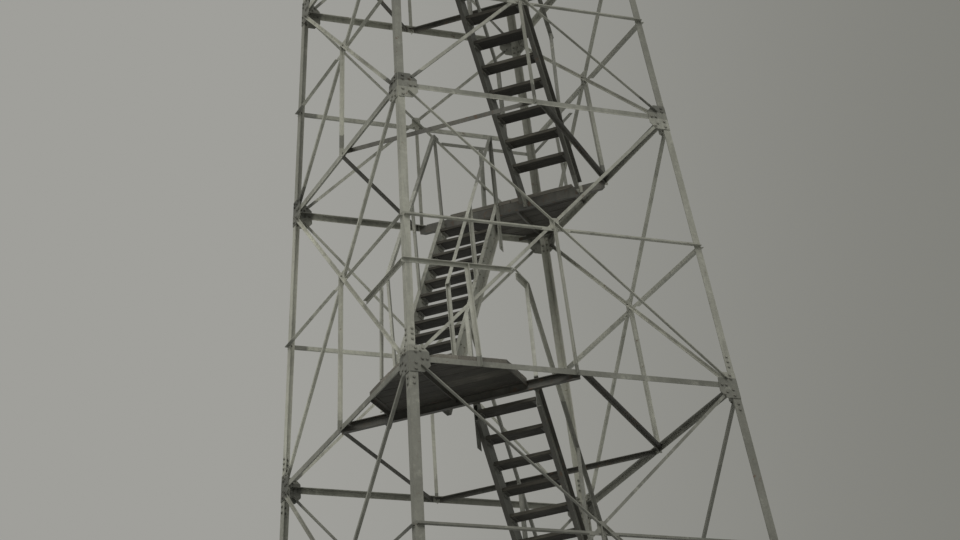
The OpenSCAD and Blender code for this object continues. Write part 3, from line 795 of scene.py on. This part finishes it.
def rail_strap(i, straps, bolts):
    """Strap that ties the end of the outer handrail to the guard rail outside the face."""
    wide, thick, size = 0.022, 0.005, 0.012
    outer = -TREAD_L / 2 - STRINGER_W
    face_x = inner_edge(i) + STAIR_Y - outer - half_side(walk_z(i) + GUARD_H) * ROOT_2
    rail_x = face_x + (LEG_T + BRACE_W + FIT) * ROOT_2
    near, far, inner = face_x - 0.025, rail_x + 0.050, outer + wide
    place = at_flight(i) @ move(0, 0, GUARD_H)
    outline = [(near, outer), (far, outer), (far, inner), (near - wide, inner)]
    straps.slab(place, outline, 0, thick, 0.001)
    for x in (rail_x + 0.030, face_x - 0.022):
        bolts.bolt(place @ move(x, outer + wide / 2, thick), thick + RAIL_T, size, False)


def stairs():
    """Treads, planks, clips, straps and bolts of all flights and landings."""
    cleats, clips, straps, bolts, heads = Shape(), Shape(), Shape(), Shape(22), Shape()
    for i in range(1, BAYS + 1):
        flight_treads(i, cleats, bolts)
        flight_clips(i, clips, bolts)
        rail_bolts(i, bolts)
    for i in range(1, BAYS):
        landing_planks(i, heads)
        if i != CROSSED_RAIL:
            rail_strap(i, straps, bolts)
    cleats.make("tread_cleats", stair_steel, "steel")
    clips.make("flight_clips", stair_steel, "steel")
    straps.make("rail_straps", rail_steel, "steel")
    bolts.make("stair_bolts", bolt_steel, "steel")
    heads.make("deck_bolts", bolt_steel, "steel")


def cab_boards():
    """Floor of the cab: boards along the stairs' direction, cut off at the walls and round the way up."""
    boards = Shape(31)
    dice = boards.random
    place = at_level(BAYS) @ move(0, 0, SILL_H)
    gap, board_w, least_w, corner = 0.001, 0.122, 0.030, CAB / ROOT_2 - 0.002
    square = [(0, -corner), (corner, 0), (0, corner), (-corner, 0)]
    low, high = -STAIR_Y - HATCH_W / 2, -STAIR_Y + HATCH_W / 2
    start = flight(BAYS)[0]
    end = start + HATCH_L
    whole, round_hatch = ((-corner, corner),), ((-corner, start), (end, corner))
    for y0, y1, spans in ((high, corner, whole), (low, high, round_hatch), (-corner, low, whole)):
        rows = round((y1 - y0) / board_w)
        pitch = (y1 - y0) / rows
        for row in range(rows):
            strip = cut(square, 0, -1, -(y0 + row * pitch) - gap)
            strip = cut(strip, 0, 1, y0 + (row + 1) * pitch - gap)
            for left, right in spans:
                joint = dice.uniform(left + 0.4, right - 0.4) if right - left > 1.4 else right
                for x0, x1 in ((left, joint), (joint, right)):
                    outline = cut(cut(strip, -1, 0, -x0 - gap), 1, 0, x1 - gap)
                    along = [x for x, _ in outline] or [0]
                    if len(outline) > 2 and max(along) - min(along) > least_w:
                        boards.slab(place, outline, 0, FLOOR_T - dice.uniform(0, 0.0015), 0.002)
    boards.make("cab_boards", floor_wood, "wood", "cab_floor")


def trapdoor():
    """Planks, battens, strap hinges and a ring, on a door that stands open."""
    door, fittings = Shape(32), Shape()
    place = at_flight(BAYS) @ move(0, -HATCH_W / 2, 0)
    planks, face, gap, hinge_x, batten_w, strap_t = 5, -0.012, 0.001, 0.110, 0.090, 0.004
    pitch = HATCH_W / planks
    for n in range(planks):
        low, high = (2 * gap, -TRAPDOOR_T, n * pitch + gap), (HATCH_L - 2 * gap, face, (n + 1) * pitch - gap)
        door.box(place, low, high, 0.002)
    for x in (hinge_x, HATCH_L - hinge_x):
        low, high = (x - batten_w / 2, face, 0.030), (x + batten_w / 2, 0, HATCH_W - 0.030)
        door.box(place, low, high, 0.003)
        strap = place @ move(x, -TRAPDOOR_T, 0) @ turn(90, "X")
        outline = [(-0.022, 0.010), (0.022, 0.010), (0.012, 0.420), (0, 0.440), (-0.012, 0.420)]
        fittings.slab(strap, outline, 0, strap_t, 0.001)
        barrel = place @ move(x - 0.040, -TRAPDOOR_T - strap_t, 0.006) @ turn(90, "Y")
        fittings.disc(barrel, 0.008, 0, 0.080, 12, 0.001)
        for y in (0.080, 0.200, 0.320):
            fittings.disc(strap @ move(0, y, strap_t), 0.008, 0, 0.004, 10, 0.0015)
    pull = place @ move(HATCH_L / 2, -TRAPDOOR_T, HATCH_W - 0.110) @ turn(90, "X")
    fittings.lathe(pull @ move(0, -0.030, 0.008), tube(0.032, 0.005), 24)
    fittings.box(pull, (-0.020, -0.012, 0), (0.020, 0.012, strap_t), 0.001)
    door.make("hatch_door", floor_wood, "wood", "cab_trapdoor")
    fittings.make("hatch_fittings", bolt_steel, "steel")


def wall_sheets(cladding, side):
    """Sheets under, over and beside the windows, with folded seams between the lower and the upper ones."""
    place, panels, gap, t = on_wall(side), 6, 0.001, 0.003
    pitch, top = CAB / panels, WINDOW_Z + WINDOW_H
    for low, high in ((0.055, WINDOW_Z - 0.036), (top + 0.062, WALL_H - 0.090)):
        for n in range(panels):
            x = n * pitch - CAB / 2
            bulge = cladding.random.uniform(-0.001, 0.005)
            sheet = place @ move(0, low, 0)
            cladding.sheet(sheet, x + gap, x + pitch - gap, up_to(high - low), t, bulge)
            if n:
                cladding.box(place, (x - 0.006, low, 0), (x + 0.006, high, 0.014), 0.003)
    outer = CAB / 2 - MULLION_W / 2 - WINDOW_W
    beside = place @ move(0, WINDOW_Z - 0.030, 0)
    for x in (-CAB / 2, CAB / 2 - outer):
        cladding.sheet(beside, x, x + outer, up_to(WINDOW_H + 0.086), t, 0.002)


def wall_flashings(cladding, rivets, side):
    """Drip flashing at the foot, band under the eaves and angle on the corner, with their rivets."""
    place, w, t, gauge = on_wall(side), 0.048, 0.006, 0.034
    foot = [
        (0.060, 0), (0.060, 0.004), (0.018, 0.022), (0.014, 0.022), (0.010, 0.004), (-0.044, 0.004),
        (-0.044, 0)]
    cladding.bar(place @ move(-CAB / 2 - 0.002, 0, 0), foot, CAB + 0.004)
    cladding.box(place, (-CAB / 2, WALL_H - 0.095, 0), (CAB / 2, WALL_H - 0.004, t), 0.002)
    corner = [(-w, 0), (0, 0), (0, -w), (t, -w), (t, t), (-w, t)]
    cladding.bar(place @ move(-CAB / 2, 0.020, 0) @ turn(90), corner, WALL_H - 0.030)
    for n in range(14):
        y = 0.070 + n * 0.150
        rivets.rivet(place @ move(gauge - CAB / 2, y, t))
        rivets.rivet(place @ move(-CAB / 2 - t, y + 0.040, -gauge) @ turn(-90, "Y"))
    for n in range(16):
        x = -CAB / 2 + 0.075 + n * 0.148
        rivets.rivet(place @ move(x, -0.020, 0.004))
        rivets.rivet(place @ move(x, WALL_H - 0.050, t))


def window_casing(trim, place, x0, x1):
    """Boards round an opening inside and outside, a capped head and a sill that sheds the rain."""
    y0, y1, w, head, inside, t, edge = WINDOW_Z, WINDOW_Z + WINDOW_H, 0.052, 0.058, -WALL_T, 0.014, 0.003
    lap = 0.001
    for back, front in ((0, 0.020), (inside - t, inside)):
        trim.box(place, (x0 - w, y0, back), (x0 + lap, y1 + lap, front), edge)
        trim.box(place, (x1 - lap, y0, back), (x1 + w, y1 + lap, front), edge)
        trim.box(place, (x0 - w, y1, back), (x1 + w, y1 + head, front), edge)
    trim.box(place, (x0 - w, y0 - 0.060, inside - t), (x1 + w, y0, inside), edge)
    trim.box(place, (x0 - w, y0 - 0.095, 0), (x1 + w, y0 - 0.034, t), edge)
    cap = [(0, 0), (0.018, 0), (0.006, 0.036), (-0.004, 0.036), (-0.004, 0.032), (0, 0.032)]
    trim.bar(place @ move(x0 - w - 0.012, y1 + head, 0), cap, x1 - x0 + 2 * w + 0.024)
    sill = [(-0.036, -0.050), (0.004, -0.050), (0.002, -0.008), (-0.012, 0.054), (-0.036, 0.050)]
    trim.bar(place @ move(x0 - lap, y0, 0), sill, x1 - x0 + 2 * lap)
    ears = [(-0.036, 0), (0, 0), (-0.012, 0.054), (-0.036, 0.050)]
    for x in (x0 - w - 0.016, x1):
        trim.bar(place @ move(x, y0, 0), ears, w + 0.016)


def window_sash(frames, latches, place, x0, x1):
    """Sash in an opening: stiles, rails and glazing bars for two by three panes, hinges and a catch."""
    x0, x1, y0, y1 = x0 + 0.003, x1 - 0.003, WINDOW_Z + 0.006, WINDOW_Z + WINDOW_H - 0.003
    w, middle, edge, g = 0.042, -WALL_T / 2, 0.003, GLASS_T / 2
    back, front, left, right = middle - 0.015, middle + 0.015, x0 + w - 0.002, x1 - w + 0.002
    low, high = y0 + w + 0.012, y1 - w
    frames.box(place, (x0, y0, back), (x0 + w, y1, front), edge)
    frames.box(place, (x1 - w, y0, back), (x1, y1, front), edge)
    frames.box(place, (left, y0, back), (right, low, front), edge)
    frames.box(place, (left, high, back), (right, y1, front), edge)
    half = [(0.011, -g), (0.011, g), (0.004, 0.013), (-0.004, 0.013), (-0.011, g), (-0.011, -g)]
    muntin = half + [(-0.004, -0.013), (0.004, -0.013)]
    for n in (1, 2):
        y = low + (high - low) * n / 3
        frames.bar(place @ move(left, y, middle), muntin, right - left)
    upright = place @ move((x0 + x1) / 2, low - 0.002, middle) @ turn(90)
    frames.bar(upright, muntin, high - low + 0.004)
    for x in (x0 + 0.130, x1 - 0.190):
        latches.box(place, (x, y1 - 0.012, front), (x + 0.060, y1 + 0.024, front + 0.003), 0.001)
        knuckle = place @ move(x, y1 + 0.001, front + 0.004) @ turn(90, "Y")
        latches.disc(knuckle, 0.005, 0, 0.060, 10, 0.001)
    catch = place @ move((x0 + x1) / 2, y0 + 0.026, back)
    latches.box(catch, (-0.024, -0.010, -0.004), (0.024, 0.010, 0), 0.001)
    latches.box(catch, (-0.006, -0.004, -0.030), (0.060, 0.006, -0.020), 0.003)
    latches.disc(catch, 0.006, -0.022, 0, 10, 0.001)


def cab_shell():
    """Sheets, flashings and windows of the four walls, and the sill's bolts."""
    cladding, rivets, trim, frames, latches = Shape(33), Shape(), Shape(), Shape(), Shape()
    for side in range(4):
        wall_sheets(cladding, side)
        wall_flashings(cladding, rivets, side)
        for x0 in (MULLION_W / 2, -MULLION_W / 2 - WINDOW_W):
            window_casing(trim, on_wall(side), x0, x0 + WINDOW_W)
            window_sash(frames, latches, on_wall(side), x0, x0 + WINDOW_W)
        sill = on_wall(side, LEVEL[BAYS])
        for x in (-1.080, -0.960, -0.420, 0.420, 0.960, 1.080):
            rivets.bolt(sill @ move(x, SILL_H / 2, 0), TIE_T, 0.022)
    cladding.make("cab_cladding", sheet_paint, "cab_paint")
    rivets.make("cab_rivets", bolt_steel, "steel")
    trim.make("window_casings", trim_paint, "cab_paint")
    frames.make("window_sashes", trim_paint, "cab_paint")
    latches.make("window_hinges", bolt_steel, "steel")


def cab_timbers():
    """Rafters with tails under the eaves, hip rafters, strips on the walls' tops, and fascia boards."""
    timbers, boards = Shape(), Shape()
    under = -ROOF_T * cos(ROOF_PITCH)
    strip = [(WALL_H, -WALL_T), (WALL_H + WALL_T * ROOF_FALL, -WALL_T), (WALL_H, 0)]
    fascia = [(0.004, -0.088), (0.024, -0.088), (0.024, 0.024 * ROOF_FALL), (0.004, 0.004 * ROOF_FALL)]
    for side in range(4):
        for x in (-0.900, -0.450, 0, 0.450, 0.900):
            low, high = (x - 0.022, 0.032, under - 0.070), (x + 0.022, up_hips(x) - 0.040, under)
            timbers.box(on_roof(side), low, high, 0.003)
        timbers.box(on_hip(side), (0.060, -0.024, -0.115), (HIP_LENGTH - 0.030, 0.024, -0.030), 0.003)
        timbers.bar(on_wall(side) @ move(-CAB / 2, 0, 0), strip, CAB)
        half = ROOF_HALF - 0.004 - 0.020 * (side % 2)
        edge = turn(90 * side) @ move(-half, -ROOF_HALF, EAVE_Z)
        boards.bar(edge, fascia, 2 * half)
    timbers.make("cab_timbers", rafter_wood, "wood")
    boards.make("eave_boards", trim_paint, "cab_paint")


def roof_covering():
    """Sheets between standing seams, a folded edge at the eaves and rolls over the hips."""
    roof = Shape(34)
    hem, panels, verge, gap = 0.0225, 6, 0.030, 0.002
    pitch = 2 * (ROOF_HALF - verge) / panels
    seam = [
        (0.014, 0), (0.005, 0.005), (0.004, 0.020), (0.007, 0.023), (0.005, 0.030), (-0.005, 0.030),
        (-0.007, 0.023), (-0.004, 0.020), (-0.005, 0.005), (-0.014, 0)]
    edge = [
        (-0.002, -0.030), (0, -0.030), (0, hem - 0.002), (0.040, hem - 0.002 + 0.040 * ROOF_FALL),
        (0.040, hem + 0.040 * ROOF_FALL), (-0.002, hem)]
    slope, roll_r = ROOF_FALL / ROOT_2 * cos(HIP_PITCH), 0.018
    steps = [k * pi / 8 for k in range(-1, 10)]
    roll = [(roll_r * cos(a), 0.014 + roll_r * sin(a)) for a in steps]
    cover = [(0.060, -0.060 * slope), (0.060, 0.004 - 0.060 * slope), (0.022, 0.004 - 0.022 * slope)]
    hip = cover + roll + [(-y, z) for y, z in cover[::-1]] + [(0, -0.002)]
    for side in range(4):
        for n in range(panels):
            x = verge - ROOF_HALF + n * pitch
            bulge = roof.random.uniform(0.001, 0.004)
            roof.sheet(on_roof(side), x + gap, x + pitch - gap, up_hips, 0.002, bulge, (6, 8))
            if n:
                roof.bar(on_roof(side) @ move(x, 0.004, 0.001) @ turn(90), seam, up_hips(x) - 0.020)
        roof.bar(turn(90 * side) @ move(-ROOF_HALF, -ROOF_HALF, EAVE_Z), edge, 2 * ROOF_HALF)
        roof.bar(on_hip(side) @ move(0.012, 0, 0.002), hip, HIP_LENGTH - 0.100)
    roof.make("roof_sheets", roof_steel, "roof_steel")


def ventilator():
    """Square flashing, storm collar, bands and louvres on the pipe, and seams and a rolled rim on its cap."""
    vent = Shape()
    place, r, rim = move(0, 0, PEAK_Z), VENT_D / 2, VENT_H - VENT_CAP_H
    near, far = r + 0.006, 0.170
    flashing = [
        (near * ROOT_2, -near * ROOF_FALL), (far * ROOT_2, 0.004 - far * ROOF_FALL),
        (far * ROOT_2, 0.008 - far * ROOF_FALL), (near * ROOT_2, 0.012 - near * ROOF_FALL)]
    vent.lathe(place, flashing, 4, 45)
    vent.lathe(place, [(r, 0.020), (r + 0.040, -0.030), (r + 0.042, -0.028), (r + 0.003, 0.024), (r, 0.024)])
    for z in (0.030, rim - 0.018):
        vent.lathe(place, [(r, z), (r + 0.003, z), (r + 0.003, z + 0.012), (r, z + 0.012)])
    for k in range(12):
        vent.box(place @ turn(30 * k), (r - 0.002, -0.012, 0.050), (r + 0.006, 0.012, rim - 0.026), 0.002)
    cap_r = VENT_CAP_D / 2
    vent.lathe(place @ move(0, 0, rim + 0.002), tube(cap_r, 0.004), 48)
    rise = atan((VENT_CAP_H - VENT_RIM_H) / cap_r)
    up_cap = move(cap_r, 0, rim + VENT_RIM_H) @ turn(180) @ tilt(-rise, "Y")
    for k in range(6):
        seam = place @ turn(60 * k + 30) @ up_cap
        vent.box(seam, (0.004, -0.003, -0.001), (cap_r - 0.020, 0.003, 0.004), 0.001)
    vent.make("vent_fittings", roof_steel, "roof_steel")


def camera():
    """Where the photograph was taken from: on the ground in front and to the left, looking up."""
    image_w, sensor, focal, shift = 960, 36, 2768.53, -2
    right, up = Vector((0.912951, -0.397845, -0.090774)), Vector((-0.092319, -0.418046, 0.903723))
    back, place = Vector((-0.397489, -0.816674, -0.418385)), Vector((-11.8305, -24.1971, 1.6214))
    data = bpy.data.cameras.new("camera")
    data.sensor_width, data.clip_end = sensor, 500
    data.lens, data.shift_x = focal / image_w * sensor, shift / image_w
    obj = put("camera", data)
    obj.matrix_world = move(*place) @ Matrix((right, up, back)).transposed().to_4x4()
    bpy.context.scene.camera = obj


def floor():
    """Plain pale floor that stays in the studio."""
    s = Surface("studio floor", Roughness=0.9)
    s.colour(s.mix(s.span(s.noise(0.6, 3), 0.4, 0.6), (0.51, 0.515, 0.50), (0.53, 0.535, 0.52)))
    mesh, r = bpy.data.meshes.new("floor"), 250
    mesh.from_pydata([(-r, -r, 0), (r, -r, 0), (r, r, 0), (-r, r, 0)], [], [(0, 1, 2, 3)])
    mesh.materials.append(s.material)
    put("floor", mesh)


def world():
    """Even light from all round, and a pale backdrop that falls off a little towards one side."""
    studio = bpy.data.worlds.new("studio")
    bpy.context.scene.world = studio
    studio.use_nodes = True
    tree = studio.node_tree

    def node(kind, links=(), output=0, **settings):
        return add_node(tree, kind, links, **settings).outputs[output]

    light = node("ShaderNodeBackground", {0: (0.97, 0.99, 1.0, 1), 1: 0.5})
    direction = {0: node("ShaderNodeTexCoord", output="Generated"), 1: (0.913, -0.398, -0.091)}
    across = node("ShaderNodeVectorMath", direction, "Value", operation="DOT_PRODUCT")
    limits = {0: across, 1: -0.10, 2: 0.20}
    side = node("ShaderNodeMapRange", limits, interpolation_type="SMOOTHSTEP")
    ramp = add_node(tree, "ShaderNodeValToRGB", {0: side})
    ramp.color_ramp.elements[0].color = (0.352, 0.350, 0.328, 1)
    ramp.color_ramp.elements[1].color = (0.216, 0.216, 0.196, 1)
    backdrop = node("ShaderNodeBackground", {0: ramp.outputs[0]})
    ray = add_node(tree, "ShaderNodeLightPath").outputs
    seen = {0: ray["Is Camera Ray"], 1: ray["Is Glossy Ray"]}
    seen = {0: node("ShaderNodeMath", seen, operation="ADD"), 1: ray["Is Transmission Ray"]}
    shown = node("ShaderNodeMath", seen, operation="ADD", use_clamp=True)
    mixed = node("ShaderNodeMixShader", {0: shown, 1: light, 2: backdrop})
    tree.links.new(mixed, tree.nodes["World Output"].inputs["Surface"])


def key_lamp():
    """Wide soft lamp, high in front and to the left."""
    data = bpy.data.lights.new("key", "SUN")
    data.energy, data.angle = 2.0, radians(40)
    towards = Vector((-0.55, -0.75, 0.95))
    put("key", data).rotation_euler = towards.to_track_quat("Z", "Y").to_euler()


dress_nodes()
joint_bolts()
brace_bolts()
leg_splices()
feet()
stairs()
cab_boards()
trapdoor()
cab_shell()
cab_timbers()
roof_covering()
ventilator()
camera()
floor()
world()
key_lamp()
bpy.context.scene.view_settings.view_transform = "Standard"
